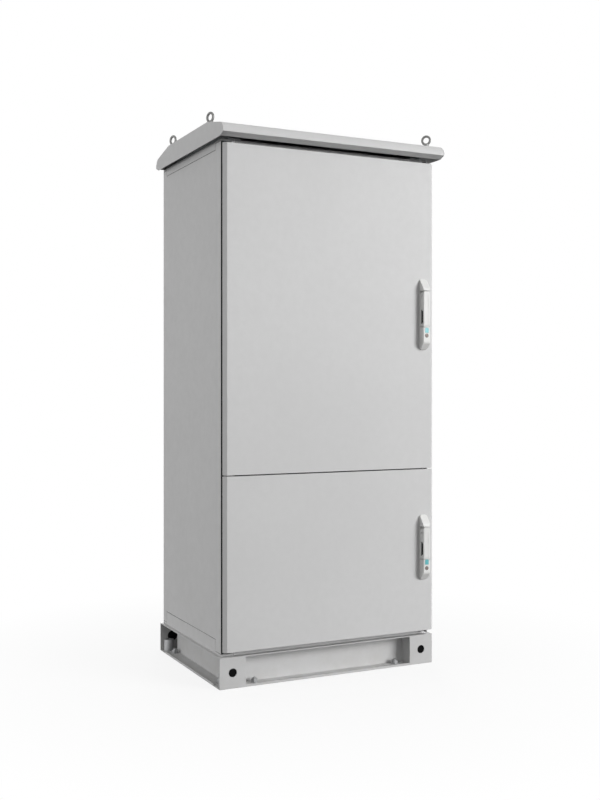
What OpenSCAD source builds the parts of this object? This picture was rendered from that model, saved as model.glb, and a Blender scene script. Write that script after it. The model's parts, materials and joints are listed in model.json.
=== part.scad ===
// Free-standing outdoor cabinet in folded sheet steel, with two doors, a rain hood
// and a plinth. X is across the front, the front faces -Y, and Z is up.
// The origin is on the ground, in the middle of the roof's width and depth.

/* [Body] */
// Width across the side walls
body_w = 768; // [620:1:1000]
// Depth from the front posts to the rear wall
body_d = 561; // [440:1:800]
// Height of the body above the plinth
body_h = 1650; // [1400:1:2100]
// Thickness of the wall sheet
wall_t = 1.5; // [1:0.1:2]
// Width of each front post on the side
front_post = 45; // [30:1:80]
// Width of each rear post on the side
rear_post = 36; // [25:1:80]
// Height of the lower side seam above the body's bottom
seam_low = 45.3; // [30:0.1:80]
// Distance of the upper side seam below the body's top
seam_high = 27.8; // [20:0.1:40]
// Height of the tray strip under and over the posts
strip_h = 7; // [4:0.5:10]
// Open width of the side seams
seam_gap = 1.5; // [0.5:0.1:3]
// Width of the folded edge that the rear wall is fixed to
rear_fold = 40; // [25:1:60]
// Distance of the outer screws of the rear wall from the body's ends
screw_end = 40; // [30:1:80]
// Length and width of the cable entry in the floor
entry = [460, 200]; // [100:1:560]
// Width of the frame face beside the door opening, hinge side
frame_left = 35.5; // [32:0.5:50]
// Width of the frame face beside the door opening, lock side
frame_right = 12.5; // [10:0.5:20]
// Height of the opening's sill above the body's bottom
sill_h = 46; // [35:1:70]
// Distance of the opening's head below the body's top
head_h = 46; // [40:1:70]
// Half the height of the transom behind the door seam
transom_half = 34; // [28:1:50]
// How far the sealing lips stand out of the frame
lip_d = 28.2; // [22:0.1:29]

/* [Doors] */
// How far the door faces stand in front of the body
door_stand = 43.5; // [40:0.5:50]
// How far each door reaches past the side walls
door_over = 7.5; // [4:0.5:14]
// Thickness of the door sheet
door_t = 2; // [1.5:0.1:2.5]
// Size of the bevel on the upright edges
door_bevel = 11.5; // [6:0.5:14]
// Folded return behind the hinge-side bevel
return_left = 13.5; // [10:0.5:15]
// Folded return behind the lock-side bevel
return_right = 8; // [6:0.5:10]
// Gap between the folded top and bottom edges and the sealing lips
edge_gap = 1.3; // [0.5:0.1:4]
// Height of the lower door's bottom edge above the body's bottom
door_low = 20; // [12:0.5:30]
// Distance of the upper door's top edge below the body's top
door_high = 19.3; // [12:0.1:30]
// Height of the middle of the door seam above the body's bottom
door_seam = 577.7; // [450:0.1:800]
// Open width of the door seam
door_gap = 3.8; // [2:0.1:6]
// Width of the gasket
gasket_w = 12; // [8:0.5:12]
// Gap between the gasket and the sealing lips
gasket_gap = 0.3; // [0.2:0.1:1]
// Distance of the stiffeners from the middle of the door
stiff_x = 150; // [80:1:200]
// Width of the stiffeners' crest
stiff_w = 32; // [20:1:60]
// Width of the stiffeners' flanges
stiff_flange = 14; // [8:1:20]
// Width of the stiffeners' slopes
stiff_slope = 6; // [2:0.5:12]
// Depth of the stiffeners
stiff_d = 12; // [6:0.5:14]
// Distance of the stiffeners' ends from the door opening
stiff_end = 40; // [20:1:80]

/* [Hinges] */
// Distance of the hinge axis inside the door's outer edge
hinge_in = 19; // [18:0.5:19.5]
// Distance of the hinge axis in front of the body
hinge_stand = 24; // [23.5:0.5:26]
// Diameter of the hinge pins
hinge_pin_d = 6; // [4:0.5:7]
// Outer diameter of the knuckles
knuckle_d = 11; // [10:0.5:11.5]
// Height of a hinge
hinge_h = 60; // [40:1:90]
// Thickness of the hinge arms
arm_t = 4; // [3:0.5:5]
// Width of the arm's foot on each side of its web
foot_w = 5; // [4:0.5:5.5]
// Gap between the arm's foot and the sealing lip
foot_gap = 3; // [2:0.5:4]
// Distance of the end hinges from the ends of the upper door
hinge_end_upper = 120; // [70:1:200]
// Distance of the hinges from the ends of the lower door
hinge_end_lower = 100; // [70:1:160]

/* [Handles] */
// Distance of the handles inside the door's outer edge
handle_in = 45; // [43:0.5:46]
// Height of the middle of the upper handle above the body's bottom
handle_z_upper = 1107.5; // [900:0.5:1200]
// Height of the middle of the lower handle above the body's bottom
handle_z_lower = 308; // [250:0.5:340]
// Length of the upper handle
handle_len_upper = 242; // [220:1:300]
// Length of the lower handle
handle_len_lower = 222; // [205:1:260]
// Width of the handles
handle_w = 28; // [26:0.5:30]
// How far the handles stand out of the door
handle_d = 25.5; // [24:0.5:30]
// Length of the wedge over the lever
wedge_len = 39; // [30:1:50]
// Length of the raised pad with the lock, upper handle
pad_len_upper = 54; // [40:1:60]
// Length of the raised pad with the lock, lower handle
pad_len_lower = 47; // [40:1:60]
// Distance of the lock below the top of the pad
plug_below = 28.6; // [20:0.1:30]
// Radii of the corners at the lower and upper end of the base
base_round = [9, 7]; // [2:0.5:12]
// Distance of the finger recess from the lever's end, and its length
recess = [11, 50]; // [8:1:60]
// Length of the slope under the pad
foot_len = 23; // [14:1:30]
// Thickness of the base plate under the lever
plate_t = 5; // [4:0.5:6]
// Diameter of the spindle
spindle_d = 11; // [10:0.5:12]
// Angle that the lever tilts out
tilt_max = 35; // [20:1:35]
// Diameter of the lock plug
plug_d = 10; // [8:0.5:12]
// Running clearance around the levers
run_gap = 0.4; // [0.3:0.1:0.6]

/* [Rods] */
// Travel of the rods over a quarter turn
rod_travel = 16; // [12:0.5:17]
// Thickness of the rods
rod_t = 4; // [3:0.5:5]
// Diameter of the drive pins on the cam
cam_pin_d = 6; // [5:0.5:6]
// Depth from the door's inner face to the cam
cam_back = 21.5; // [18:0.5:24]
// Thickness of the cam
cam_t = 4; // [3:0.5:5]
// Height of the rod guides
guide_h = 14; // [10:1:24]
// Distance of the outer rod guides from the spindle and the rod ends
guide_in = 60; // [40:1:90]
// Distance between two rod guides above which a third one is added
guide_span = 150; // [120:1:300]
// Reach of the lock box below and above the spindle
box_reach = [26, 22]; // [18:1:30]
// Depth of the keepers below the frame lips
keeper_h = 20; // [12:1:30]

/* [Roof] */
// Overhang of the roof past each side wall
roof_side = 25; // [18:0.5:60]
// Overhang of the roof in front of the doors
roof_front = 39; // [20:0.5:80]
// Overhang of the roof behind the rear wall
roof_rear = 9.5; // [6:0.5:60]
// Thickness of the roof sheet
roof_t = 2; // [1.5:0.1:3]
// Height of the lower fold above the body's top
crease_h = 5; // [2:0.5:20]
// Height of the flat top above the lower fold
roof_rise = 57; // [52:0.5:90]
// Depth of each slope
slope_run = 137; // [100:1:150]
// Angle of each slope
slope_deg = 12.1; // [8:0.1:16]
// Outer bend radius of the front and rear edge
nose_r = 32; // [20:0.5:32]
// Depth and drop of the folded lip below the edge
roof_lip = [25, 10]; // [6:0.5:40]

/* [Lifting eyes] */
// Outer diameter of the rings
eye_od = 36; // [30:0.5:60]
// Diameter of the ring's bar
eye_wire = 8; // [6:0.5:10]
// Diameter of the threaded shank
eye_shank = 8; // [6:0.5:10]
// Diameter of the collar
collar_d = 20; // [16:0.5:20]
// Height of the ring's middle above its seat
eye_rise = 18.5; // [16:0.5:34]
// Distance of the eyes outside the side walls
eye_out = 11; // [8:0.5:12]
// Distance of the front eyes behind the body's front
eye_front = 64; // [60:1:120]
// Distance of the rear eyes in front of the rear wall
eye_rear = 137; // [90:1:180]
// How much nearer the front the front-right eye sits
eye_shift = 53; // [40:1:56]
// Thickness of the lifting rails
rail_t = 4; // [3:0.5:6]
// How far the lifting rails reach past the foremost eye
rail_end = 17; // [14:1:30]
// Distance of the lifting rails inside the side walls
rail_in = 44; // [36:1:60]
// Height of the lifting rails over the top tray
rail_h = 44; // [30:1:44]

/* [Plinth] */
// Height of the plinth
plinth_h = 100; // [80:1:200]
// Thickness of the plinth sheet
plinth_t = 3; // [2:0.5:5]
// How far the plinth reaches past the side walls
plinth_side = 13; // [0:0.5:24]
// How far the plinth reaches in front of the body
plinth_front = 22.5; // [0:0.5:40]
// How far the plinth stays inside the rear wall
plinth_rear = 3.5; // [0:0.5:20]
// Depth of the front and rear rails
rail_front_d = 54; // [45:1:80]
// Depth of the side rails
rail_side_d = 50; // [42:1:80]
// Height of the turned-up edge of the rails
rail_edge = 7.5; // [5:0.5:15]
// Width of the corner plates
corner_w = 90; // [80:1:140]
// Diameter of the hole in each corner plate
corner_hole = 28; // [16:0.5:50]
// Distance of an anchor from the plinth's side
anchor_side = 24; // [22:0.5:45]
// Distance of an anchor from the plinth's front or rear
anchor_end = 24; // [24:0.5:32]
// Diameter of the anchor holes
anchor_hole = 14; // [10:0.5:18]
// Outer diameter of the anchor sleeves
sleeve_d = 34; // [22:0.5:36]
// Height of the anchor sleeves
sleeve_h = 40; // [20:1:60]
// Diameter and thickness of the rubber discs behind the corner holes
cap_size = [36, 2]; // [1:0.5:60]
// Diameter of the bolts that hold the rails
rail_bolt_d = 12; // [8:1:14]

/* [Inside] */
// Depth of the mounting uprights
upright_d = 43; // [20:1:80]
// Width of the uprights' front face
upright_w = 32; // [26:1:60]
// Width of the uprights' feet
upright_foot = 10; // [8:1:24]
// Distance of the uprights' ends from the body's ends
upright_end = 36; // [34:1:80]
// Distance of the uprights inside the side walls
upright_in = 84; // [75:1:160]
// Thickness of the mounting plates
plate_m = 2.5; // [2:0.5:4]
// Distance from the mounting plates to the door openings
plate_inset = 22; // [15:1:60]

/* [Hidden] */

grey = "#cfd1d0";
zinc = "#b4b7b9";
pale = "#ecece8";
dark = "#3a3b3d";
eps = 0.01;

// Main planes: half width, front, rear, bottom and top of the body
bx = body_w / 2;
roof_w = body_w + 2 * roof_side;
roof_d = roof_front + door_stand + body_d + roof_rear;
yr = roof_d / 2 - roof_rear;
yf = yr - body_d;
zb = plinth_h;
zt = zb + body_h;
// Plinth faces
px = bx + plinth_side;
py0 = yf - plinth_front;
py1 = yr - plinth_rear;
// Door opening between the sealing lips
ox0 = -bx + frame_left;
ox1 = bx - frame_right;
oz0 = zb + sill_h;
oz1 = zt - head_h;
zs = zb + door_seam;
ylip = yf - lip_d;
upright_x = bx - upright_in;
edge_y = ylip - edge_gap;
// Doors: face, inner face, rear plane of the bevel, outer edge
yd = yf - door_stand;
yi = yd + door_t;
yb = yd + door_bevel;
dx = bx + door_over;
dz0 = [zs + door_gap / 2, zb + door_low];
dz1 = [zt - door_high, zs - door_gap / 2];
lz0 = [zs + transom_half, oz0];
lz1 = [oz1, zs - transom_half];
// Hinges
hx = -dx + hinge_in;
hy = yf - hinge_stand;
hinge_z = [
    [dz0[0] + hinge_end_upper, (dz0[0] + dz1[0]) / 2, dz1[0] - hinge_end_upper],
    [dz0[1] + hinge_end_lower, dz1[1] - hinge_end_lower]];
pin_fit = 0.05;
lug_h = hinge_h / 4;
// Handles: position, ends, spindle, lever length
kx = dx - handle_in;
h_len = [handle_len_upper, handle_len_lower];
h_top = [zb + handle_z_upper + h_len[0] / 2, zb + handle_z_lower + h_len[1] / 2];
lever_r = handle_w / 2;
sp_z = [for (k = [0, 1]) h_top[k] - wedge_len - run_gap - lever_r];
pad_len = [pad_len_upper, pad_len_lower];
lever_l = [for (k = [0, 1]) h_len[k] - wedge_len - pad_len[k] - foot_len - lever_r - run_gap];
h_bot = [for (k = [0, 1]) h_top[k] - h_len[k]];
plug_z = [for (k = [0, 1]) h_bot[k] + foot_len + pad_len[k] - plug_below];
lever_y0 = yd - handle_d;
lever_y1 = yd - plate_t - run_gap;
lever_half = (lever_y1 - lever_y0) / 2;
tilt_y = (lever_y0 + lever_y1) / 2;
// Cam and rods
cam_y = yi + cam_back;
pin_r = rod_travel / sqrt(2);
slot_gap = 0.6;
rod_y = cam_y + cam_t + 0.6;
rod_in = pin_r * cos(45) - cam_pin_d / 2 - slot_gap - 2;
rod_out = pin_r + cam_pin_d / 2 + slot_gap + 2.5;
tip_gap = 1;
// Roof outline
kz = roof_rise - slope_run * tan(slope_deg);
flat_y = roof_d / 2 - slope_run;
zc = zt + crease_h;
roof_top = zc + roof_rise;
ex = bx + eye_out;
eye_y0 = yf + eye_front;
eye_y1 = yr - eye_rear;
eyes = [[-ex, eye_y0, -70], [ex, eye_y0 - eye_shift, -50], [-ex, eye_y1, -70], [ex, eye_y1, -70]];
// Lifting rails: ends, and the bolts in their feet
rail_y0 = eye_y0 - eye_shift - rail_end;
rail_y1 = eye_y1 + 70;
rail_bolt_y = [rail_y0 + 30, (rail_y0 + rail_y1) / 2, rail_y1 - 30];
rail_foot_x = bx - rail_in;

// Outlines

// Normal on the left of the step from a to b
function left(a, b) = [a[1] - b[1], b[0] - a[0]] / norm(b - a);

// The same path moved to its left by t, with mitred corners
function shifted(p, t) = [for (i = [0:len(p) - 1])
    let (m = len(p) - 1,
        n1 = left(p[max(i - 1, 0)], p[max(i, 1)]),
        n2 = left(p[min(i, m - 1)], p[min(i + 1, m)]))
    p[i] + (n1 + n2) * t / (1 + n1 * n2)];

function flip(p) = [for (i = [len(p) - 1:-1:0]) p[i]];

// Arc of n steps that rounds the corner at b with radius r
function corner(a, b, c, r, n) = r <= 0 ? [b] :
    let (u = (a - b) / norm(a - b), v = (c - b) / norm(c - b),
        h = acos(u * v) / 2,
        m = b + (u + v) / norm(u + v) * r / sin(h),
        s = b + u * r / tan(h) - m,
        e = b + v * r / tan(h) - m,
        a0 = atan2(s[1], s[0]),
        da = (atan2(e[1], e[0]) - a0 + 540) % 360 - 180)
    [for (i = [0:n]) m + r * [cos(a0 + da * i / n), sin(a0 + da * i / n)]];

// Path with each inner corner rounded by its own radius
function bent(p, r, n = 4) = [for (i = [0:len(p) - 1])
    each (i == 0 || i == len(p) - 1 ? [p[i]] : corner(p[i - 1], p[i], p[i + 1], r[i], n))];

// Section of a folded sheet: outer face along p, thickness to the left
module sheet(p, t) polygon(concat(p, flip(shifted(p, t))));

// Rectangle from a to b with rounded corners, radius low at the bottom and high at the top
function rounded(a, b, low, high, n = 6) = let (c = [b[0], a[1]], d = [a[0], b[1]])
    concat(corner(d, a, c, low, n), corner(a, c, b, low, n), corner(c, b, d, high, n),
        corner(b, d, a, high, n));

function arc(c, r, a0, a1, n) = [for (i = [0:n])
    c + r * [cos(a0 + (a1 - a0) * i / n), sin(a0 + (a1 - a0) * i / n)]];

module block(a, b) translate(a) cube(b - a);

// Drawn as (Y, Z) and pulled along X
module along_x(x0, x1) translate([x0, 0, 0]) rotate([90, 0, 90]) linear_extrude(x1 - x0) children();

// Drawn as (X, Z) and pulled along Y
module along_y(y0, y1) translate([0, y1, 0]) rotate([90, 0, 0]) linear_extrude(y1 - y0) children();

module rod_x(p, d, l) translate(p) rotate([0, 90, 0]) cylinder(d = d, h = l, center = true, $fn = 32);

module rod_y(p, d, y1, fn = 48) translate([p[0], y1, p[1]]) rotate([90, 0, 0])
    cylinder(d = d, h = y1 - p[2], $fn = fn);

module post(p, d, h, fn = 48) translate(p) cylinder(d = d, h = h, $fn = fn);

// Hexagon head or nut, w across the flats
module hexagon(p, w, h) translate(p) cylinder(d = w / cos(30), h = h, $fn = 6);

module both_x() {
    children();
    mirror([1, 0, 0]) children();
}

// Plinth

// Section of a rail that opens outwards, its face at 0 and its web at d
module rail_outline(d) polygon([[0, 0], [d, 0], [d, plinth_h], [0, plinth_h],
    [0, plinth_h - plinth_t], [d - plinth_t, plinth_h - plinth_t],
    [d - plinth_t, plinth_t], [plinth_t, plinth_t], [plinth_t, rail_edge], [0, rail_edge]]);

rail_bolt_in = 133;
side_bolt_in = 74;
bolt_mid = 30;

module rail_bolt_holes(pts) for (p = pts)
    post([p[0], p[1], -eps], rail_bolt_d + 0.6, plinth_t + 2 * eps);

front_bolts = [for (s = [-1, 1]) [s * (px - rail_bolt_in), py0 + bolt_mid]];
rear_bolts = [for (s = [-1, 1]) [s * (px - rail_bolt_in), py1 - bolt_mid]];
side_bolts = [for (s = [-1, 1], y = [py0 + side_bolt_in, py1 - side_bolt_in])
    [s * (px - bolt_mid), y]];

module plinth_front_rail() color(grey) difference() {
    along_x(-px + corner_w, px - corner_w) translate([py0, 0]) rail_outline(rail_front_d);
    rail_bolt_holes(front_bolts);
}

module plinth_rear_rail() color(grey) difference() {
    along_x(-px + corner_w, px - corner_w)
        translate([py1, 0]) mirror([1, 0]) rail_outline(rail_front_d);
    rail_bolt_holes(rear_bolts);
}

module side_rail(s) color(grey) difference() {
    along_y(py0 + rail_front_d, py1 - rail_front_d)
        scale([s, 1]) translate([px, 0]) mirror([1, 0]) rail_outline(rail_side_d);
    rail_bolt_holes(side_bolts);
}

module plinth_side_rail_left() mirror([1, 0, 0]) side_rail(1);

module plinth_side_rail_right() side_rail(1);

// Corner piece at the front right: face plate, inner leg, closing leg, top and bottom
module corner_piece(bolt_y) difference() {
    union() {
        block([px - corner_w, py0, 0], [px, py0 + plinth_t, plinth_h]);
        block([px - corner_w, py0, 0], [px - corner_w + plinth_t, py0 + rail_front_d, plinth_h]);
        block([px - corner_w, py0 + rail_front_d - plinth_t, 0],
            [px - rail_side_d + plinth_t, py0 + rail_front_d, plinth_h]);
        block([px - corner_w, py0, 0], [px, py0 + rail_front_d, plinth_t]);
        block([px - corner_w, py0, plinth_h - plinth_t], [px, py0 + rail_front_d, plinth_h]);
    }
    rod_y([px - corner_w / 2, plinth_h / 2, py0 - 1], corner_hole, py0 + plinth_t + 1);
    post([px - anchor_side, py0 + anchor_end, -1], anchor_hole, plinth_t + 2);
    post([body_bolt_x, bolt_y, plinth_h - plinth_t - 1], 12.6, plinth_t + 2);
}

body_bolt_x = bx - 39;
body_bolt_y0 = yf + 16;
body_bolt_y1 = yr - 31;

module plinth_corners_front() color(grey) both_x() corner_piece(body_bolt_y0);

module plinth_corners_rear() color(grey) both_x()
    translate([0, py0 + py1, 0]) mirror([0, 1, 0]) corner_piece(py0 + py1 - body_bolt_y1);

// Rubber discs on the inner side of the corner plates, behind the holes
module plinth_hole_caps() color(dark) both_x() for (y = [py0 + plinth_t, py1 - plinth_t - cap_size[1]])
    rod_y([px - corner_w / 2, plinth_h / 2, y], cap_size[0], y + cap_size[1]);

module plinth_anchor_sleeves() color(zinc) both_x()
    for (y = [py0 + anchor_end, py1 - anchor_end]) difference() {
        post([px - anchor_side, y, plinth_t], sleeve_d, sleeve_h);
        post([px - anchor_side, y, plinth_t - 1], anchor_hole, sleeve_h + 2);
    }

module plinth_bolts() color(zinc) for (p = concat(front_bolts, rear_bolts, side_bolts)) {
    post([p[0], p[1], 0], rail_bolt_d, plinth_t + 2 + 14);
    post([p[0], p[1], plinth_t], 2 * rail_bolt_d, 2);
    hexagon([p[0], p[1], plinth_t + 2], 1.6 * rail_bolt_d, 10);
}

// Body

module body_bolts() color(zinc) both_x() for (y = [body_bolt_y0, body_bolt_y1]) {
    post([body_bolt_x, y, zb - plinth_t - 14], 12, 14 + plinth_t + wall_t + 4);
    hexagon([body_bolt_x, y, zb + wall_t], 19, 7.5);
    hexagon([body_bolt_x, y, zb - plinth_t - 10], 19, 10);
}

// Tray lying on z = 0 and open upwards: h is its height between the posts
module tray(h, lip_h) difference() {
    union() {
        block([-bx, yf, 0], [bx, yr - wall_t, wall_t]);
        both_x() {
            block([bx - wall_t, yf, 0], [bx, yr - wall_t, strip_h - seam_gap / 2]);
            block([bx - wall_t, yf + front_post + seam_gap / 2, 0],
                [bx, yr - rear_post - seam_gap / 2, h - seam_gap / 2]);
            block([bx - 2 * wall_t, yf + front_post + 10, h - 12],
                [bx - wall_t, yr - rear_post - 10, h + 12]);
        }
        block([-bx, yf, 0], [bx, yf + wall_t, strip_h - seam_gap / 2]);
        block([ox0, yf, 0], [ox1, yf + wall_t, lip_h]);
        block([ox0, ylip, lip_h - wall_t], [ox1, yf + wall_t, lip_h]);
        block([-bx + rear_fold, yr - 2 * wall_t, 0], [bx - rear_fold, yr - wall_t, 32]);
    }
    children();
}

module bottom_tray() color(grey) translate([0, 0, zb]) tray(seam_low, sill_h) {
    block([-entry[0] / 2, -entry[1] / 2, -1], [entry[0] / 2, entry[1] / 2, wall_t + 1]);
    for (s = [-1, 1], y = [body_bolt_y0, body_bolt_y1])
        post([s * body_bolt_x, y, -1], 12.6, wall_t + 2);
}

gland_edge = 20;

// Blank plate that is drilled for the cables on site
module gland_plate() color(zinc) block([-entry[0] / 2 - gland_edge, -entry[1] / 2 - gland_edge,
    zb + wall_t], [entry[0] / 2 + gland_edge, entry[1] / 2 + gland_edge, zb + wall_t + 2]);

module top_tray() color(grey) translate([0, 0, zt]) mirror([0, 0, 1]) tray(seam_high, head_h) {
    for (s = [-1, 1], y = rail_bolt_y) post([s * rail_foot_x, y, -1], 10.6, wall_t + 2);
}

// Side wall in plan: rear fold, panel, front post, sealing lip
module wall_plan(frame) sheet([[bx - rear_fold, yr - wall_t], [bx, yr - wall_t], [bx, yf],
    [bx - frame + wall_t, yf], [bx - frame + wall_t, ylip]], -wall_t);

module side_wall(frame) color(grey) difference() {
    translate([0, 0, zb + strip_h + seam_gap / 2])
        linear_extrude(body_h - 2 * strip_h - seam_gap)
        wall_plan(frame);
    block([bx - wall_t - 1, yf + front_post - seam_gap / 2, zb],
        [bx + 1, yr - rear_post + seam_gap / 2, zb + seam_low + seam_gap / 2]);
    block([bx - wall_t - 1, yf + front_post - seam_gap / 2, zt - seam_high - seam_gap / 2],
        [bx + 1, yr - rear_post + seam_gap / 2, zt]);
}

module side_wall_left() mirror([1, 0, 0]) side_wall(frame_left);

module side_wall_right() side_wall(frame_right);

wall_screws = [for (s = [-1, 1], i = [0:5])
    [s * (bx - rear_fold / 2), zb + screw_end + i * (body_h - 2 * screw_end) / 5],
    for (s = [-1, 1], z = [zb + 18, zt - 18]) [s * bx / 3, z]];

module rear_wall() color(grey) difference() {
    block([-bx + 3, yr - wall_t, zb + 3], [bx - 3, yr, zt - 3]);
    for (p = wall_screws) rod_y([p[0], p[1], yr - wall_t - 1], 6.2, yr + 1, 24);
}

module rear_wall_screws() color(zinc) for (p = wall_screws) {
    rod_y([p[0], p[1], yr], 11, yr + 3, 24);
    rod_y([p[0], p[1], yr - wall_t], 6, yr + 1, 24);
}

// Channel behind the door seam, with its lips forward
module transom() color(grey) along_x(ox0, ox1) sheet([[ylip, zs + transom_half],
    [yf + wall_t, zs + transom_half], [yf + wall_t, zs - transom_half],
    [ylip, zs - transom_half]], -wall_t);

// Roof

// Front half of the section: lip, lower fold, edge and slope
roof_half = [[-roof_d / 2 + roof_lip[0], zc - roof_lip[1]], [-roof_d / 2, zc],
    [-roof_d / 2, zc + kz], [-flat_y, zc + roof_rise]];
roof_bends = [0, 0, nose_r, 0, 0, nose_r, 0, 0];
roof_back = [for (p = flip(roof_half)) [-p[0], p[1]]];
plate_path = bent(concat(roof_half, roof_back), roof_bends, 8);
// The rear lip stops in front of the rear wall
lip_end = [roof_d / 2 - roof_rear + 1.5, zc - (roof_rear - 1.5) * roof_lip[1] / roof_lip[0]];
roof_path = bent(concat(roof_half, [for (i = [0:2]) roof_back[i]], [lip_end]), roof_bends, 8);

// Height of the outer face of the roof at a depth y
function roof_z(y) = zc + roof_rise - max(0, abs(y) - flat_y) * tan(slope_deg);

module roof_hood() color(grey) difference() {
    union() {
        along_x(-roof_w / 2 + roof_t, roof_w / 2 - roof_t) sheet(roof_path, -roof_t);
        for (x = [-roof_w / 2, roof_w / 2 - roof_t]) along_x(x, x + roof_t) polygon(plate_path);
    }
    for (e = eyes) post([e[0], e[1], zt], eye_shank + 1, roof_top - zt + 1);
}

module lifting_rail(pts) color(zinc) difference() {
    along_y(rail_y0, rail_y1) sheet([[rail_foot_x - 20, zt], [rail_foot_x + 20, zt],
        [rail_foot_x + 20, zt + rail_h - rail_t], [ex + 10, zt + rail_h - rail_t]], rail_t);
    for (e = pts) post([ex, e[1], zt + 1], eye_shank + 1, rail_h + 2);
    for (y = rail_bolt_y) post([rail_foot_x, y, zt - 1], 10.6, rail_t + 2);
}

module lifting_rail_left() mirror([1, 0, 0]) lifting_rail([eyes[0], eyes[2]]);

module lifting_rail_right() lifting_rail([eyes[1], eyes[3]]);

// Spacers between the rails and the roof, and the bevelled seat on the slope
module eye_spacers() color(zinc) {
    for (e = eyes) difference() {
        post([e[0], e[1], zt + rail_h], collar_d, roof_top - zt - rail_h);
        post([e[0], e[1], zt], eye_shank + 0.4, roof_top - zt);
        along_x(-roof_w, roof_w) polygon(concat(shifted(roof_path, -roof_t),
            [[roof_d, zc], [roof_d, 2 * roof_top], [-roof_d, 2 * roof_top], [-roof_d, zc]]));
    }
    difference() {
        post([eyes[1][0], eyes[1][1], zt + rail_h], collar_d, seat_z - zt - rail_h);
        post([eyes[1][0], eyes[1][1], zt], eye_shank + 0.4, roof_top - zt);
        along_x(-roof_w, roof_w) polygon(plate_path);
    }
}

seat_z = roof_z(eyes[1][1] + collar_d / 2) + 1;
eye_seat = [roof_z(0), seat_z, roof_z(0), roof_z(0)];

module eye_nuts() color(zinc) {
    for (e = eyes) difference() {
        hexagon([e[0], e[1], zt + rail_h - rail_t - 6.5], 13, 6.5);
        post([e[0], e[1], zt], eye_shank + 0.1, rail_h);
    }
    both_x() for (y = rail_bolt_y) {
        hexagon([rail_foot_x, y, zt + rail_t], 17, 6.4);
        hexagon([rail_foot_x, y, zt - wall_t - 8], 17, 8);
        post([rail_foot_x, y, zt - wall_t - 10], 10, 10 + wall_t + rail_t + 2);
    }
}

module eyebolt(i) color(zinc) translate([eyes[i][0], eyes[i][1], eye_seat[i]]) {
    rotate([0, 0, eyes[i][2]]) translate([0, 0, eye_rise]) rotate([90, 0, 0])
        rotate_extrude($fn = 72) translate([eye_od / 2 - eye_wire / 2, 0]) circle(d = eye_wire, $fn = 24);
    post([0, 0, 0], collar_d, eye_rise - eye_od / 2 + 5.5);
    translate([0, 0, -eye_seat[i] + zt + rail_h - rail_t - 9])
        cylinder(d = eye_shank, h = eye_seat[i] - zt - rail_h + rail_t + 10, $fn = 48);
}

module eyebolt_front_left() eyebolt(0);

module eyebolt_front_right() eyebolt(1);

module eyebolt_rear_left() eyebolt(2);

module eyebolt_rear_right() eyebolt(3);

// Inside

module mounting_uprights() color(zinc) {
    half = upright_w / 2;
    back = yr - wall_t;
    front = back - upright_d + 2;
    both_x() translate([upright_x, 0, zb + upright_end])
        linear_extrude(body_h - 2 * upright_end)
        sheet([[-half - upright_foot, back], [-half, back], [-half, front],
            [half, front], [half, back], [half + upright_foot, back]], -2);
}

module mounting_plate(k) color(zinc) difference() {
    block([-upright_x - 24, yr - wall_t - upright_d - plate_m, lz0[k] + plate_inset],
        [upright_x + 24, yr - wall_t - upright_d, lz1[k] - plate_inset]);
    for (s = [-1, 1], z = [lz0[k] + plate_inset + 20, lz1[k] - plate_inset - 20])
        rod_y([s * upright_x, z, yf], 8.5, yr - wall_t - upright_d + 1, 24);
}

module mounting_plate_upper() mounting_plate(0);

module mounting_plate_lower() mounting_plate(1);

// Hinges

lug_out = lug_h - 0.3;

arm_x1 = ox0 - foot_gap;
web_x = arm_x1 - foot_w - arm_t;

// Cranked arm on the front post: a foot, a web, and two lugs that reach round to the pin.
// The door's bevelled edge turns in between the lugs and the post.
module hinge_arm(z) difference() {
    union() {
        block([web_x - foot_w, yf - arm_t, z - hinge_h / 2], [arm_x1, yf, z + hinge_h / 2]);
        block([web_x, hy + knuckle_d / 2 - arm_t, z - hinge_h / 2],
            [web_x + arm_t, yf, z + hinge_h / 2]);
        for (s = [-hinge_h / 2, hinge_h / 2 - lug_out]) {
            block([hx, hy + knuckle_d / 2 - arm_t, z + s],
                [web_x + arm_t, hy + knuckle_d / 2, z + s + lug_out]);
            post([hx, hy, z + s], knuckle_d, lug_out);
        }
    }
    post([hx, hy, z - hinge_h], hinge_pin_d + 2 * pin_fit, 2 * hinge_h);
}

module hinge_arms() color(zinc) for (k = [0, 1], z = hinge_z[k]) hinge_arm(z);

module hinge_pins() color(zinc) for (k = [0, 1], z = hinge_z[k]) {
    post([hx, hy, z - hinge_h / 2 - 2], hinge_pin_d, hinge_h + 3);
    post([hx, hy, z + hinge_h / 2], hinge_pin_d + 3, 2);
}

// Leaf on the door's inner face with the middle knuckle
module hinge_leaf(z) difference() {
    union() {
        post([hx, hy, z - lug_h], knuckle_d, 2 * lug_h);
        block([hx - 2, yi, z - lug_h], [hx + 2, hy, z + lug_h]);
        block([hx - 2, yi, z - hinge_h / 2], [ox0 - gasket_w / 2 - 1.5, yi + 3, z + hinge_h / 2]);
    }
    post([hx, hy, z - hinge_h], hinge_pin_d + 2 * pin_fit, 2 * hinge_h);
}

module hinge_leaves(k) color(zinc) for (z = hinge_z[k]) hinge_leaf(z);

module upper_hinge_leaves() hinge_leaves(0);

module lower_hinge_leaves() hinge_leaves(1);

// Doors

// Outline of the folded top and bottom edges in plan
module edge_plan() polygon([[-dx, yb], [-dx + door_bevel, yd], [dx - door_bevel, yd], [dx, yb],
    [dx - return_left - 1, yb], [dx - return_left - 1, edge_y], [-dx + return_left + 1, edge_y],
    [-dx + return_left + 1, yb]]);

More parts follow.
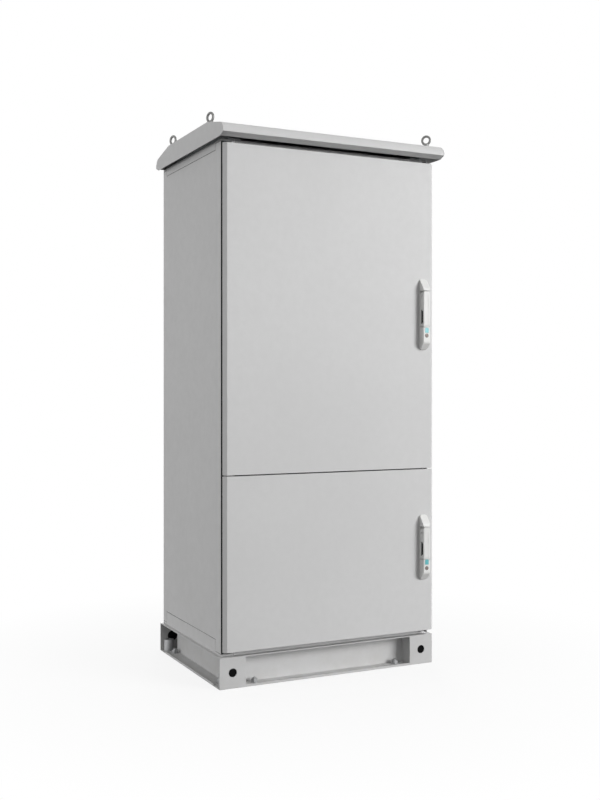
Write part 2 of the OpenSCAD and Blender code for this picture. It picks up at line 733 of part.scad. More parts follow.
module door_pan(k) color(grey) difference() {
    union() {
        translate([0, 0, dz0[k]]) linear_extrude(dz1[k] - dz0[k])
            sheet([[-dx + return_left, yb], [-dx, yb], [-dx + door_bevel, yd],
                [dx - door_bevel, yd], [dx, yb], [dx - return_right, yb]], door_t);
        translate([0, 0, dz0[k]]) linear_extrude(door_t) edge_plan();
        translate([0, 0, dz1[k] - door_t]) linear_extrude(door_t) edge_plan();
    }
    rod_y([kx, sp_z[k], yd - 1], spindle_d + 4, yi + 1);
    rod_y([kx, plug_z[k], yd - 1], plug_d + 2, yi + 1);
}

module upper_door_pan() door_pan(0);

module lower_door_pan() door_pan(1);

// Foam frame that meets the sealing lips
module gasket(k) color(dark) {
    g = (gasket_w - wall_t) / 2;
    along_y(yi, ylip - gasket_gap) difference() {
        translate([ox0 - wall_t - g, lz0[k] - wall_t - g])
            square([ox1 - ox0 + 2 * wall_t + 2 * g, lz1[k] - lz0[k] + 2 * wall_t + 2 * g]);
        translate([ox0 + g, lz0[k] + g])
            square([ox1 - ox0 - 2 * g, lz1[k] - lz0[k] - 2 * g]);
    }
}

module upper_door_gasket() gasket(0);

module lower_door_gasket() gasket(1);

module stiffeners(k) color(grey) {
    crest = stiff_w / 2;
    root = crest + stiff_slope;
    both_x() translate([stiff_x, 0, lz0[k] + stiff_end])
        linear_extrude(lz1[k] - lz0[k] - 2 * stiff_end)
        sheet([[-root - stiff_flange, yi], [-root, yi], [-crest, yi + stiff_d],
            [crest, yi + stiff_d], [root, yi], [root + stiff_flange, yi]], 1.5);
}

module upper_door_stiffeners() stiffeners(0);

module lower_door_stiffeners() stiffeners(1);

// Handles

// Section across a handle, with its front edges taken off
module handle_section(y0, y1, c) polygon([[kx - handle_w / 2, y1], [kx - handle_w / 2, y0 + c],
    [kx - handle_w / 2 + c, y0], [kx + handle_w / 2 - c, y0],
    [kx + handle_w / 2, y0 + c], [kx + handle_w / 2, y1]]);

// Wedge, base plate and pad in one, seen from the side
module handle_base(k) color(pale) difference() {
    intersection() {
        along_x(kx - handle_w, kx + handle_w) polygon(bent([[yd, h_bot[k]], [yd - 6, h_bot[k]],
            [yd - handle_d, h_bot[k] + foot_len], [yd - handle_d, h_top[k] - wedge_len + 7],
            [yd - 3, h_top[k]], [yd, h_top[k]]], [0, 8, 16, 24, 2, 0], 8));
        along_y(yd - handle_d - 1, yd + 1) polygon(rounded([kx - handle_w / 2, h_bot[k]],
            [kx + handle_w / 2, h_top[k]], base_round[0], base_round[1]));
        translate([0, 0, h_bot[k] - 1]) linear_extrude(h_len[k] + 2)
            handle_section(yd - handle_d, yd, 2.5);
    }
    // Room for the lever's round end
    block([kx - handle_w, yd - handle_d - 1, sp_z[k]],
        [kx + handle_w, yd - plate_t, h_top[k] - wedge_len]);
    // Bed of the lever: its end is drawn about the spindle
    intersection() {
        rod_y([kx, sp_z[k], yd - handle_d - 1], 2 * (lever_l[k] + 2 * run_gap), yd - plate_t, 180);
        block([kx - handle_w, yd - handle_d - 2, h_bot[k]], [kx + handle_w, yd, sp_z[k]]);
    }
    rod_y([kx, sp_z[k], yd - handle_d], spindle_d + 0.2, yd + 1);
    rod_y([kx, plug_z[k], yd - handle_d - 1], plug_d + 0.1, yd + 1);
}

module upper_handle_base() handle_base(0);

module lower_handle_base() handle_base(1);

// Lever: front outline, side outline and section are met in one solid
module lever(k) color(pale) difference() {
    intersection() {
        translate([kx, 0, sp_z[k]]) along_y(lever_y0 - 1, lever_y1 + 1)
            polygon(concat(arc([0, 0], lever_r, 0, 180, 16),
                bent([[-lever_r, 0], [-lever_r, 1 - lever_l[k]], [0, -lever_l[k]],
                [lever_r, 1 - lever_l[k]], [lever_r, 0]], [0, end_round, 60, end_round, 0], 8)));
        translate([0, tilt_y, sp_z[k]]) along_x(kx - handle_w, kx + handle_w)
            polygon(concat([[lever_half, 2.5], [0, lever_r]],
                arc([0, 0], lever_r, 90, 90 + asin(lever_half / lever_r), 6),
                [[-lever_half, 8 - lever_l[k]], [-lever_half + 2, 1 - lever_l[k]],
                [-lever_half + 4, -lever_l[k] - 1], [lever_half - 3, -lever_l[k] - 1],
                [lever_half, 3 - lever_l[k]]]));
        translate([0, 0, sp_z[k] - lever_l[k] - 2]) linear_extrude(lever_l[k] + lever_r + 4)
            handle_section(lever_y0, lever_y1 + 1, 3.5);
    }
    // Pocket for the head of the carrier
    rod_x([kx, tilt_y, sp_z[k]], 2 * pocket_r, head_w + 0.8);
    translate([0, tilt_y, sp_z[k]]) along_x(kx - head_w / 2 - 0.4, kx + head_w / 2 + 0.4)
        polygon([[0, -pocket_r], [lever_half + 1, -pocket_r], [lever_half + 1, lever_r + 1],
            [pocket_u, lever_r + 1], [pocket_u, pocket_p[1] + (pocket_u - pocket_p[0]) * tan(tilt_max)],
            pocket_p]);
    rod_x([kx, tilt_y, sp_z[k]], lever_pin_d + 0.1, handle_w + 2);
    // Finger recess in the left side, behind a lip
    along_y(lever_y0 + recess_lip, lever_y0 + recess_lip + 10)
        translate([kx - lever_r, sp_z[k] - lever_l[k] + recess[0]]) polygon([[-1, -1], [0, 0],
            [6, 6], [6, recess[1] - 6], [0, recess[1]], [-1, recess[1] + 1]]);
    // Short notch beside the pivot
    block([kx - lever_r - 1, lever_y0 + recess_lip, sp_z[k] - 11],
        [kx - lever_r + 2.5, lever_y0 + recess_lip + 10, sp_z[k] - 3]);
    // Shallow crease along the front
    translate([kx + 5, lever_y0, sp_z[k] - lever_l[k] + 8]) linear_extrude(lever_l[k] - 8)
        polygon([[-1, -0.3], [0, 0.7], [1, -0.3]]);
}

head_w = 12.4;
head_d = 12;
lever_pin_d = 4;
end_round = 8;
recess_lip = 3;
// Pocket round the head; its upper edge lets the lever tilt by tilt_max
pocket_r = head_d / 2 + 0.6;
pocket_u = 3.7;
pocket_p = pocket_r * [-sin(tilt_max), cos(tilt_max)];

module upper_lever() lever(0);

module lower_lever() lever(1);

module lever_pin(k) color(zinc) rod_x([kx, tilt_y, sp_z[k]], lever_pin_d, handle_w - 4);

module upper_lever_pin() lever_pin(0);

module lower_lever_pin() lever_pin(1);

// Head in the lever, spindle through the door, cam with its two drive pins
module handle_carrier(k) color(zinc) difference() {
    union() {
        rod_x([kx, tilt_y, sp_z[k]], head_d, head_w);
        rod_y([kx, sp_z[k], tilt_y], spindle_d, cam_y + 1);
        rod_y([kx, sp_z[k], cam_y], 2 * (pin_r + cam_pin_d / 2 + 1.5), cam_y + cam_t);
        for (s = [-1, 1]) rod_y([kx + s * pin_r * cos(45), sp_z[k] + s * pin_r * sin(45),
            cam_y + 1], cam_pin_d, rod_y + rod_t + 2);
    }
    rod_x([kx, tilt_y, sp_z[k]], lever_pin_d + 0.04, handle_w);
}

module upper_handle_carrier() handle_carrier(0);

module lower_handle_carrier() handle_carrier(1);

// Box behind the door that guides the spindle, on a plate that clamps the handle
module lock_box(k) color(zinc) difference() {
    union() {
        block([kx - 17, yi, h_bot[k] + 6], [kx + 17, yi + 3, h_top[k] - 6]);
        block([kx - 15, yi, sp_z[k] - box_reach[0]], [kx + 15, cam_y - 0.4, sp_z[k] + box_reach[1]]);
    }
    rod_y([kx, sp_z[k], yi - 1], spindle_d + 0.2, cam_y + 1);
    rod_y([kx, plug_z[k], yi - 1], plug_d + 0.2, cam_y + 1);
}

module upper_lock_box() lock_box(0);

module lower_lock_box() lock_box(1);

// Plug with its key slot and the tongue behind the door
module lock_plug(k) color(zinc) difference() {
    union() {
        rod_y([kx, plug_z[k], yd - handle_d - 0.5], plug_d, yi + 7);
        block([kx - 4, yi + 3.5, plug_z[k] - 4], [kx + 4, yi + 6, plug_z[k] + 13]);
    }
    block([kx - 0.7, yd - handle_d - 2, plug_z[k] - 3], [kx + 0.7, yd - handle_d + 3, plug_z[k] + 3]);
}

module upper_lock_plug() lock_plug(0);

module lower_lock_plug() lock_plug(1);

// Rods

// Ends of the top and bottom rods
rod_hi = [for (k = [0, 1]) lz1[k] - wall_t - keeper_h - tip_gap];
rod_lo = [for (k = [0, 1]) lz0[k] + wall_t + keeper_h + tip_gap];

// Rod above the spindle, with a cross slot for its drive pin
module rod(k, s, end) {
    z0 = sp_z[k] + s * pin_r * sin(45);
    slot = cam_pin_d / 2 + slot_gap;
    xa = min(s * rod_in, s * rod_out);
    xb = max(s * rod_in, s * rod_out);
    za = min(z0 - s * (slot + 3), end);
    zz = max(z0 - s * (slot + 3), end);
    color(zinc) difference() {
        block([kx + xa, rod_y, za], [kx + xb, rod_y + rod_t, zz]);
        block([kx + xa + (s > 0 ? 2 : 2.5), rod_y - 1, z0 - slot],
            [kx + xb - (s > 0 ? 2.5 : 2), rod_y + rod_t + 1, z0 + slot]);
    }
}

module upper_rod_top() rod(0, 1, rod_hi[0]);

module upper_rod_bottom() rod(0, -1, rod_lo[0]);

module lower_rod_top() rod(1, 1, rod_hi[1]);

module lower_rod_bottom() rod(1, -1, rod_lo[1]);

// Blocks on the door that the rods slide through
module guide(k, s, z) {
    xa = min(s * rod_in, s * rod_out);
    xb = max(s * rod_in, s * rod_out);
    difference() {
        block([kx + xa - 2.2, yi, z - guide_h / 2], [kx + xb + 2.2, rod_y + rod_t + 3, z + guide_h / 2]);
        block([kx + xa - 0.3, rod_y - 0.3, z - guide_h],
            [kx + xb + 0.3, rod_y + rod_t + 0.3, z + guide_h]);
    }
}

module rod_guides(k) color(dark) {
    top = rod_hi[k] - guide_in;
    low = rod_lo[k] + guide_in;
    first = sp_z[k] + guide_in;
    last = h_bot[k] - 20;
    for (z = [first, if (top - first > guide_span) (top + first) / 2, top]) guide(k, 1, z);
    for (z = [last, if (last - low > guide_span) (last + low) / 2, low]) guide(k, -1, z);
}

module upper_rod_guides() rod_guides(0);

module lower_rod_guides() rod_guides(1);

// Angles inside the frame lips that the rod ends are locked behind
module keeper(x, z, s) {
    ya = rod_y - 4.5;
    along_x(x - 14, x + 11) sheet([[yf - 1, z], [ya, z], [ya, z - s * keeper_h]], s * 3);
}

module rod_keepers() color(zinc) for (k = [0, 1]) {
    keeper(kx + (rod_in + rod_out) / 2, lz1[k], 1);
    keeper(kx - (rod_in + rod_out) / 2, lz0[k], -1);
}

plinth_front_rail();
plinth_rear_rail();
plinth_side_rail_left();
plinth_side_rail_right();
plinth_corners_front();
plinth_corners_rear();
plinth_hole_caps();
plinth_anchor_sleeves();
plinth_bolts();
body_bolts();
bottom_tray();
gland_plate();
side_wall_left();
side_wall_right();
rear_wall();
rear_wall_screws();
top_tray();
transom();
roof_hood();
lifting_rail_left();
lifting_rail_right();
eye_spacers();
eye_nuts();
eyebolt_front_left();
eyebolt_front_right();
eyebolt_rear_left();
eyebolt_rear_right();
mounting_uprights();
mounting_plate_upper();
mounting_plate_lower();
hinge_arms();
hinge_pins();
rod_keepers();
upper_door_pan();
upper_door_gasket();
upper_door_stiffeners();
upper_hinge_leaves();
upper_handle_base();
upper_lock_box();
upper_rod_guides();
upper_handle_carrier();
upper_lever_pin();
upper_lever();
upper_rod_top();
upper_rod_bottom();
upper_lock_plug();
lower_door_pan();
lower_door_gasket();
lower_door_stiffeners();
lower_hinge_leaves();
lower_handle_base();
lower_lock_box();
lower_rod_guides();
lower_handle_carrier();
lower_lever_pin();
lower_lever();
lower_rod_top();
lower_rod_bottom();
lower_lock_plug();
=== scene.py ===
import json
import math

import bmesh
import bpy
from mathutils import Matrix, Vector


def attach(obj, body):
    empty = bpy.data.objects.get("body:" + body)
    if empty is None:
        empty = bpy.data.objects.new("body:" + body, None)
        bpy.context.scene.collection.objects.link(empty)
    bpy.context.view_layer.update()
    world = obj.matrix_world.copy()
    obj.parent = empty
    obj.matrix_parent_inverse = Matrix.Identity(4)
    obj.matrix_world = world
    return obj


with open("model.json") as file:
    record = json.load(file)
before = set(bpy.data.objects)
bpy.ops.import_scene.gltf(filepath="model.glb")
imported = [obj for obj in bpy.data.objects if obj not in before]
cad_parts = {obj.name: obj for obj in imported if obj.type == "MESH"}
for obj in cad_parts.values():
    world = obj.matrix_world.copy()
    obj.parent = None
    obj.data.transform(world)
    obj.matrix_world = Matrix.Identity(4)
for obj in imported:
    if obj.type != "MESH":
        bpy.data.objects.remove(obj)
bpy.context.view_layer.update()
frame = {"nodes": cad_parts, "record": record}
scene = bpy.context.scene
scene.view_settings.view_transform = "Standard"

# All lengths are in metres, in the part's frame: +X right, front faces -Y, +Z up.

# Level camera in front of the hinge side, fitted to the photographed edges
CAM_PLACE = (-1.6581, -3.4219, 0.9559)
CAM_TURN = 26.07                            # degrees from the cabinet's front
CAM_LENS, CAM_SENSOR = 48.26, 36.0          # mm
CAM_SHIFT = -0.0152
CAM_REACH = 60.0


def make_camera():
    data = bpy.data.cameras.new("view")
    data.lens = CAM_LENS
    data.sensor_width = CAM_SENSOR
    data.shift_y = CAM_SHIFT
    data.clip_end = CAM_REACH
    ob = bpy.data.objects.new("view", data)
    ob.location = CAM_PLACE
    ob.rotation_euler = (math.radians(90), 0, math.radians(-CAM_TURN))
    scene.collection.objects.link(ob)
    scene.camera = ob


make_camera()


# ---- Materials ----

WHITE = (1.0, 1.0, 1.0, 1.0)
DUST = (150, 144, 132)      # colour of the dust low on the coats
DUST_TOP = 0.22             # height at which the dust has faded out


class Tree:
    """Nodes of a material or world, added and linked by short calls."""

    def __init__(self, owner):
        owner.use_nodes = True
        self.owner = owner
        self.nodes = owner.node_tree.nodes
        self.links = owner.node_tree.links

    def feed(self, node, inputs):
        """Links sockets to a node's inputs, and sets the others to plain values."""
        for key, value in inputs.items():
            if isinstance(value, bpy.types.NodeSocket):
                self.links.new(value, node.inputs[key])
            else:
                node.inputs[key].default_value = value

    def add(self, kind, inputs=None, **props):
        node = self.nodes.new(kind)
        for key, value in props.items():
            setattr(node, key, value)
        self.feed(node, inputs or {})
        return node

    def coords(self, kind="Object"):
        return self.add("ShaderNodeTexCoord").outputs[kind]

    def noise(self, vec, scale, detail=2.0, rough=0.5):
        node = self.add("ShaderNodeTexNoise", {"Vector": vec, "Scale": scale,
                                               "Detail": detail, "Roughness": rough})
        return node.outputs["Fac"]

    def cells(self, vec, scale, output):
        return self.add("ShaderNodeTexVoronoi", {"Vector": vec, "Scale": scale}).outputs[output]

    def remap(self, value, from_min, from_max, to_min=0.0, to_max=1.0):
        node = self.add("ShaderNodeMapRange", {"Value": value,
                                               "From Min": from_min, "From Max": from_max,
                                               "To Min": to_min, "To Max": to_max})
        return node.outputs["Result"]

    def math(self, op, a, b):
        return self.add("ShaderNodeMath", {0: a, 1: b}, operation=op).outputs[0]

    def mix(self, fac, a, b):
        """Mix of two colours (inputs 6 and 7 of the node are its colours)."""
        return self.add("ShaderNodeMix", {0: fac, 6: a, 7: b}, data_type="RGBA").outputs[2]

    def soft_edges(self, radius):
        return self.add("ShaderNodeBevel", {"Radius": radius}, samples=4).outputs["Normal"]

    def bump(self, height, strength, distance, normal=None):
        inputs = {"Height": height, "Strength": strength, "Distance": distance}
        if normal is not None:
            inputs["Normal"] = normal
        return self.add("ShaderNodeBump", inputs).outputs["Normal"]

    def seen(self):
        """1 for rays from the camera or a mirror, 0 for the others, which only carry light."""
        path = self.add("ShaderNodeLightPath").outputs
        return self.math("MAXIMUM", path["Is Camera Ray"], path["Is Glossy Ray"])

    def surface(self, inputs):
        """Feeds the material's own shader, and hands the material back."""
        self.feed(self.nodes["Principled BSDF"], inputs)
        return self.owner


def new_tree(name):
    return Tree(bpy.data.materials.new(name))


def rgb(tone, step=0):
    """Colour as the picture shows it, 0 to 255, made lighter or darker by a step."""
    def linear(v):
        v = min(255, max(0, v + step)) / 255
        return v / 12.92 if v <= 0.04045 else ((v + 0.055) / 1.055) ** 2.4
    return tuple(linear(v) for v in tone) + (1.0,)


def powder_coat(name, tone, peel, dirt):
    """Fine-textured powder coat: orange peel, faint clouds, dust low down, soft edges."""
    t = new_tree(name)
    p = t.coords()
    cloud = t.noise(p, 1.6, 3.0, 0.45)
    fine = t.noise(p, 38.0, 3.0, 0.6)
    base = t.mix(t.remap(cloud, 0.32, 0.68), rgb(tone, -3), rgb(tone, 2))
    base = t.mix(t.remap(fine, 0.35, 0.65, 0.0, 0.16), base, rgb(tone, -12))
    height = t.add("ShaderNodeSeparateXYZ", {0: p}).outputs["Z"]
    low = t.remap(height, 0.0, DUST_TOP, 1.0, 0.0)
    patch = t.remap(t.noise(p, 11.0, 5.0, 0.65), 0.42, 0.72)
    dust = t.math("MULTIPLY", t.math("MULTIPLY", low, patch), dirt)
    grain = t.noise(p, 900.0)
    return t.surface({
        "Base Color": t.mix(dust, base, rgb(DUST)),
        "Roughness": t.remap(fine, 0.3, 0.7, 0.40, 0.52),
        "Specular IOR Level": 0.2,
        "Normal": t.bump(grain, peel, 0.0004, t.soft_edges(0.0011))})


def zinc(name, tone, rough, spangle, metal=0.85):
    """Plated or galvanised steel with faint spangle and streaks."""
    t = new_tree(name)
    p = t.coords()
    grey = t.add("ShaderNodeRGBToBW", {0: t.cells(p, spangle, "Color")}).outputs[0]
    cloud = t.noise(p, 24.0, 4.0, 0.6)
    base = t.mix(t.remap(grey, 0.2, 0.8), rgb(tone, -10), rgb(tone))
    return t.surface({
        "Base Color": t.mix(t.remap(cloud, 0.4, 0.7, 0.0, 0.35), base, rgb(tone, -26)),
        "Roughness": t.remap(cloud, 0.3, 0.7, rough - 0.06, rough + 0.10),
        "Metallic": metal,
        "Normal": t.bump(t.noise(p, 420.0), 0.12, 0.0003, t.soft_edges(0.0006))})


def plastic(name, tone, rough, grain=700.0, depth=0.15, edge=0.0008, gloss=0.5):
    """Moulded piece with a fine eroded grain."""
    t = new_tree(name)
    p = t.coords()
    cloud = t.noise(p, 30.0, 4.0, 0.6)
    return t.surface({
        "Base Color": t.mix(t.remap(cloud, 0.3, 0.7), rgb(tone, -7), rgb(tone)),
        "Roughness": t.remap(cloud, 0.3, 0.7, rough - 0.05, rough + 0.06),
        "Specular IOR Level": gloss,
        "Normal": t.bump(t.noise(p, grain), depth, 0.0003, t.soft_edges(edge))})


def foam(name):
    """Foamed seal: dark skin with small pores. The same dark foam is painted as shade in the
    frame's gaps.
    """
    t = new_tree(name)
    pores = t.cells(t.coords(), 900.0, "Distance")
    return t.surface({
        "Base Color": t.mix(t.remap(pores, 0.1, 0.6), rgb((30, 30, 32)), rgb((58, 58, 60))),
        "Roughness": 0.85,
        "Normal": t.bump(pores, 0.5, 0.0006)})


MATERIALS = {
    "body_coat": powder_coat("body_coat", (206, 206, 206), peel=0.10, dirt=0.05),
    "plinth_coat": powder_coat("plinth_coat", (202, 202, 202), peel=0.12, dirt=0.18),
    "handle_coat": plastic("handle_coat", (225, 225, 223), 0.42, gloss=0.35),
    "rubber_black": plastic("rubber_black", (9, 9, 10), 0.85, grain=500.0, depth=0.3, gloss=0.1),
    "eye_steel": zinc("eye_steel", (140, 140, 139), 0.5, 500.0, metal=0.35),
    "zinc_parts": zinc("zinc_parts", (172, 173, 174), 0.48, 600.0, metal=0.7),
    "zinc_sheet": zinc("zinc_sheet", (190, 192, 194), 0.36, 120.0),
    "gasket_foam": foam("gasket_foam"),
    "guide_plastic": plastic("guide_plastic", (46, 46, 48), 0.5),
}
LOCK_METAL = zinc("lock_metal", (136, 126, 120), 0.5, 700.0, metal=0.35)
SEALANT = plastic("seam_sealant", (24, 24, 25), 0.75, grain=600.0, depth=0.25, gloss=0.2)
# Dark foam-textured colour painted as shade in the frame's gaps round the doors
GAP_SHADE_PAINT = foam("painted_gap_shade")
# Dark colour painted as shade inside the levers' finger recesses
RECESS_SHADE_PAINT = plastic("painted_recess_shade", (26, 26, 28), 0.7, grain=800.0, depth=0.2, gloss=0.2)
TEAL = plastic("teal_field", (98, 184, 190), 0.3, grain=900.0, depth=0.08, edge=0.0003)
RING = zinc("lock_ring", (92, 87, 85), 0.5, 700.0, metal=0.4)

slot_of = {s["node"]: s["material_slot"] for s in frame["record"]["subparts"]}
for name, ob in frame["nodes"].items():
    for slot in ob.material_slots:
        slot.material = LOCK_METAL if name.endswith("lock_plug") else MATERIALS[slot_of[name]]


# ---- Trim that the solids don't hold, and dark pieces painted as shade ----

# The body: half its width, its front and rear, the bottom and top of its frame
BODY_X = 0.384
FRONT_Y, REAR_Y = -0.244, 0.317
BOTTOM_Z, TOP_Z = 0.100, 1.750

# Both handles: their centre line, the front of the pad, half the lever's width
HANDLE_X = 0.3465
PAD_Y = -0.313
LEVER_HALF = 0.014

# Each handle's heights: lower end of the lever, centre of the teal field and of the lock
HANDLES = {
    "upper": (1.1635, 1.1527, 1.1349),
    "lower": (0.3670, 0.3586, 0.3384),
}

SMALL_FACE = 1e-6           # four-sided faces below this area are shaded smooth


def new_object(name, bm, mat, body):
    """Turns a bmesh into a piece that rides on a body."""
    bmesh.ops.recalc_face_normals(bm, faces=bm.faces)
    mesh = bpy.data.meshes.new(name)
    bm.to_mesh(mesh)
    bm.free()
    ob = bpy.data.objects.new(name, mesh)
    scene.collection.objects.link(ob)
    mesh.materials.append(mat)
    for poly in mesh.polygons:
        poly.use_smooth = len(poly.vertices) == 4 and poly.area < SMALL_FACE
    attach(ob, body)


def bar(bm, a, b, edge):
    """A bar from corner a to corner b with its long edges taken off."""
    verts = bmesh.ops.create_cube(bm, size=1.0)["verts"]
    size = [b[i] - a[i] for i in range(3)]
    for v in verts:
        v.co = Vector([a[i] + (v.co[i] + 0.5) * size[i] for i in range(3)])
    long_axis = max(range(3), key=lambda i: abs(size[i]))
    edges = {e for v in verts for e in v.link_edges}
    long_edges = [e for e in edges
                  if abs(e.verts[0].co[long_axis] - e.verts[1].co[long_axis]) > 1e-6]
    bmesh.ops.bevel(bm, geom=long_edges, offset=edge, segments=2, affect="EDGES", profile=0.6)


def side_seams():
    """Beads of sealant, set back in the seams between the side walls and the trays."""
    half = 0.00062                       # half the bead's width
    face, back = 0.0004, 0.0011          # its depth behind the side wall
    edge = 0.0002
    bottom_seam = (BOTTOM_Z + 0.0453, BOTTOM_Z + 0.007)      # long run, short ends
    top_seam = (TOP_Z - 0.0278, TOP_Z - 0.007)
    y_front, y_rear = FRONT_Y + 0.045, REAR_Y - 0.036        # where the long run turns off
    y_first, y_last = FRONT_Y + 0.0006, REAR_Y - 0.002
    runs = []                            # y and z of each bead's two ends
    for z_run, z_end in (bottom_seam, top_seam):
        z_low, z_high = sorted((z_run, z_end))
        runs += [(y_front - half, y_rear + half, z_run, z_run),
                 (y_front - half, y_front + half, z_low, z_high),
                 (y_rear - half, y_rear + half, z_low, z_high),
                 (y_first, y_front - half, z_end, z_end),
                 (y_rear + half, y_last, z_end, z_end)]
    bm = bmesh.new()
    for side in (-1, 1):
        x0, x1 = sorted((side * (BODY_X - face), side * (BODY_X - back)))
        for y0, y1, z0, z1 in runs:
            bar(bm, (x0, y0, z0 - half), (x1, y1, z1 + half), edge)
    new_object("side_seam_sealant", bm, SEALANT, "base")


def frame_gap_shade():
    """Dark strips painted as shade in the gaps on the frame round the door openings and on the
    transom.
    """
    proud, edge = 0.0016, 0.0005
    x_out, x_in, x_end = BODY_X - 0.0002, BODY_X - 0.0085, BODY_X - 0.0086
    z_low, z_high = BOTTOM_Z + 0.0082, TOP_Z - 0.0082
    strips = (                           # from x to x, from z to z
        (-x_out, -x_in, z_low, z_high),                          # left post
        (x_in, x_out, z_low, z_high),                            # right post
        (-x_end, x_end, BOTTOM_Z + 0.0125, BOTTOM_Z + 0.022),    # sill
        (-x_end, x_end, TOP_Z - 0.024, z_high),                  # head
        (-0.347, 0.370, 0.662, 0.694),                           # transom
    )
    bm = bmesh.new()
    for x0, x1, z0, z1 in strips:
        bar(bm, (x0, FRONT_Y - proud, z0), (x1, FRONT_Y, z1), edge)
    new_object("frame_painted_gap_shade", bm, GAP_SHADE_PAINT, "base")


def teal_field(name, z, body):
    """Plain teal field on the pad, with a low arched top and rounded corners."""
    w, h, corner, arch, edge = 0.0146, 0.0166, 0.0022, 0.0008, 0.0002
    x_mid = HANDLE_X + 0.0005
    y_front, y_back = PAD_Y - 0.00045, PAD_Y + 0.0003
    bm = bmesh.new()
    outline = []
    for sx, sz, start in ((1, -1, -90), (1, 1, 0), (-1, 1, 90), (-1, -1, 180)):
        for step in range(7):
            a = math.radians(start + 15 * step)
            x = sx * (w / 2 - corner) + corner * math.cos(a)
            dz = sz * (h / 2 - corner) + corner * math.sin(a)
            if dz > 0:
                dz += arch * (1 - (2 * x / w) ** 2)
            outline.append(bm.verts.new((x_mid + x, y_front, z + dz)))
    front = bm.faces.new(outline)
    made = bmesh.ops.extrude_face_region(bm, geom=[front])["geom"]
    for v in made:
        if isinstance(v, bmesh.types.BMVert):
            v.co.y = y_back
    rim = [e for e in bm.edges if all(abs(v.co.y - y_front) < 1e-7 for v in e.verts)]
    bmesh.ops.bevel(bm, geom=rim, offset=edge, segments=2, affect="EDGES")
    new_object(name, bm, TEAL, body)


def loft(bm, rows, closed):
    """Faces between neighbouring outlines, and from the last to the first if closed."""
    count = len(rows)
    for i in range(count if closed else count - 1):
        a, b = rows[i], rows[(i + 1) % count]
        for j in range(len(a)):
            k = (j + 1) % len(a)
            bm.faces.new((a[j], a[k], b[k], b[j]))


def lock_ring(name, z, body):
    """Turned collar round the lock plug."""
    r_in, r_out, proud, behind = 0.0053, 0.0068, 0.0006, 0.0002
    inner_edge, outer_edge, steps = 0.0003, 0.0006, 48
    profile = ((r_in, behind), (r_in, -proud * 0.7), (r_in + inner_edge, -proud),
               (r_out - outer_edge, -proud), (r_out, -proud * 0.3), (r_out, behind))
    bm = bmesh.new()
    rows = []
    for i in range(steps):
        a = 2 * math.pi * i / steps
        rows.append([bm.verts.new((HANDLE_X + r * math.cos(a), PAD_Y + y, z + r * math.sin(a)))
                     for r, y in profile])
    loft(bm, rows, closed=True)
    new_object(name, bm, RING, body)


def painted_recess_shade(name, z_end, body):
    """Dark sheet painted as shade in the finger recess of a lever, on its rear and inner walls.
    """
    low, length = 0.011, 0.050           # the recess above the lever's lower end
    x_mouth, y_front = HANDLE_X - LEVER_HALF, PAD_Y + 0.003
    x_open, x_face, x_wall = 0.0002, 0.0054, 0.0059          # into the lever
    y_near, y_face, y_wall = 0.0003, 0.0096, 0.010           # behind the recess's front
    gap = 0.0005                         # to the recess's ends, which slope at 45 degrees
    profile = ((x_open, y_wall), (x_open, y_face), (x_face, y_face),
               (x_face, y_near), (x_wall, y_near), (x_wall, y_wall))
    bm = bmesh.new()
    ends = [[bm.verts.new((x_mouth + x, y_front + y, z + slope * x)) for x, y in profile]
            for z, slope in ((z_end + low + gap, 1), (z_end + low + length - gap, -1))]
    loft(bm, ends, closed=False)
    for end in ends:
        bm.faces.new(end)
    new_object(name, bm, RECESS_SHADE_PAINT, body)


side_seams()
# Dark strips painted as shade in the frame's gaps
frame_gap_shade()
# Each handle gets dark shade painted in its lever's recess, a teal field and a lock ring
for which, (z_end, z_field, z_lock) in HANDLES.items():
    painted_recess_shade(which + "_painted_recess_shade", z_end, which + "_lever")
    teal_field(which + "_teal_field", z_field, which + "_door")
    lock_ring(which + "_lock_ring", z_lock, which + "_door")


# ---- Floor, world and lamps ----

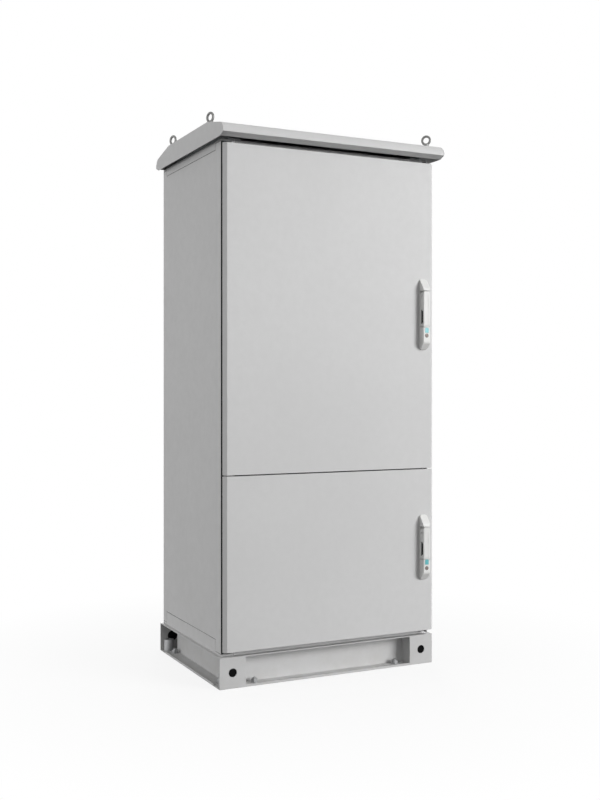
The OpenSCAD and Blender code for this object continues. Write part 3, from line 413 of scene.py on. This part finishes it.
def make_floor():
    """Pale floor: it keeps the shadow near the cabinet and is plain white further out."""
    lit_tone, seen_tone = (0.06, 0.06, 0.06, 1.0), (0.9, 0.9, 0.9, 1.0)
    near, far, near_glow = 0.5, 1.4, 0.86            # the shadow fades from near to far
    side = 160.0
    bpy.ops.mesh.primitive_plane_add(size=side, location=(0, 0, 0))
    floor = bpy.context.object
    floor.name = "floor"
    t = new_tree("floor")
    seen = t.seen()
    floor.data.materials.append(t.surface({
        "Base Color": t.mix(seen, lit_tone, seen_tone),
        "Roughness": 0.85,
        "Specular IOR Level": 0.1}))
    glow = t.add("ShaderNodeEmission", {"Color": WHITE, "Strength": 1.0})
    reach = t.add("ShaderNodeVectorMath", {0: t.coords()}, operation="LENGTH").outputs["Value"]
    share = t.math("MULTIPLY", seen, t.remap(reach, near, far, near_glow, 1.0))
    mixed = t.add("ShaderNodeMixShader", {0: share, 1: t.nodes["Principled BSDF"].outputs[0],
                                          2: glow.outputs[0]})
    t.feed(t.nodes["Material Output"], {"Surface": mixed.outputs[0]})


def make_world(low, high):
    """White round the horizon and dimmer overhead. The camera and mirrors see plain white."""
    world = bpy.data.worlds.new("studio")
    scene.world = world
    t = Tree(world)
    height = t.add("ShaderNodeSeparateXYZ", {0: t.coords("Generated")}).outputs["Z"]
    sky = t.nodes["Background"]
    t.feed(sky, {"Color": WHITE, "Strength": t.remap(height, 0.0, 1.0, low, high)})
    plain = t.add("ShaderNodeBackground", {"Color": WHITE, "Strength": 1.0})
    mixed = t.add("ShaderNodeMixShader", {0: t.seen(), 1: sky.outputs[0], 2: plain.outputs[0]})
    t.feed(t.nodes["World Output"], {"Surface": mixed.outputs[0]})


def soft_box(name, place, target, size, power):
    """Square lamp, turned towards a point."""
    data = bpy.data.lights.new(name, "AREA")
    data.shape = "SQUARE"
    data.size = size
    data.energy = power
    ob = bpy.data.objects.new(name, data)
    ob.location = place
    ob.rotation_euler = (Vector(target) - Vector(place)).to_track_quat("-Z", "Y").to_euler()
    scene.collection.objects.link(ob)


make_floor()
make_world(0.62, 0.26)
soft_box("key_box", (5.3, -7.1, 3.1), (0, 0, 0.95), 4.5, 700)
soft_box("left_box", (-7.6, 1.1, 1.7), (0, 0, 0.8), 3.6, 162)
soft_box("back_box", (2.6, 8.2, 2.8), (0, 0, 0.95), 3.6, 260)
